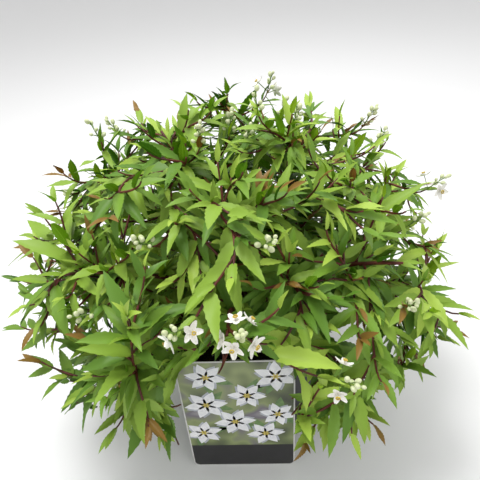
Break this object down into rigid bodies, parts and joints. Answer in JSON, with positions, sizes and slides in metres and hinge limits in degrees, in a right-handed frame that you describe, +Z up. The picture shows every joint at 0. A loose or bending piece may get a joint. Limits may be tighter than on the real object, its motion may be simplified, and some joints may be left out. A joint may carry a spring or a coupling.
{
  "type": "potted nikko slender deutzia",
  "caption": "Young deutzia shrub about 42 cm across, coming into flower, in a dark round nursery pot with a picture label hooked over its rim.",
  "frame": {"origin": "middle of the flat underside of the pot", "axes": "+Z up along the pot's axis, -Y towards the label's face, +X to the right as seen facing the label"},
  "size_m": [0.4207, 0.3889, 0.3303],
  "materials": {
    "pot": "matt",
    "mix": "matt",
    "label": "gloss",
    "stem": "matt",
    "foliage": "satin"
  },
  "bodies": {
    "root": {"nursery_pot": "pot", "potting_mix": "mix", "picture_label": "label", "short_stem": "stem", "bough_low_1": "stem", "bough_low_2": "stem", "bough_low_3": "stem", "bough_low_4": "stem", "bough_low_5": "stem", "bough_low_6": "stem", "bough_low_7": "stem", "bough_mid_1": "stem", "bough_mid_2": "stem", "bough_mid_3": "stem", "bough_mid_4": "stem", "bough_mid_5": "stem", "bough_mid_6": "stem", "bough_top_1": "stem", "bough_top_2": "stem", "bough_top_3": "stem", "foliage_low_1": "foliage", "foliage_low_2": "foliage", "foliage_low_3": "foliage", "foliage_low_4": "foliage", "foliage_low_5": "foliage", "foliage_low_6": "foliage", "foliage_low_7": "foliage", "foliage_mid_1": "foliage", "foliage_mid_2": "foliage", "foliage_mid_3": "foliage", "foliage_mid_4": "foliage", "foliage_mid_5": "foliage", "foliage_mid_6": "foliage", "foliage_top_1": "foliage", "foliage_top_2": "foliage", "foliage_top_3": "foliage"}
  },
  "joints": []
}
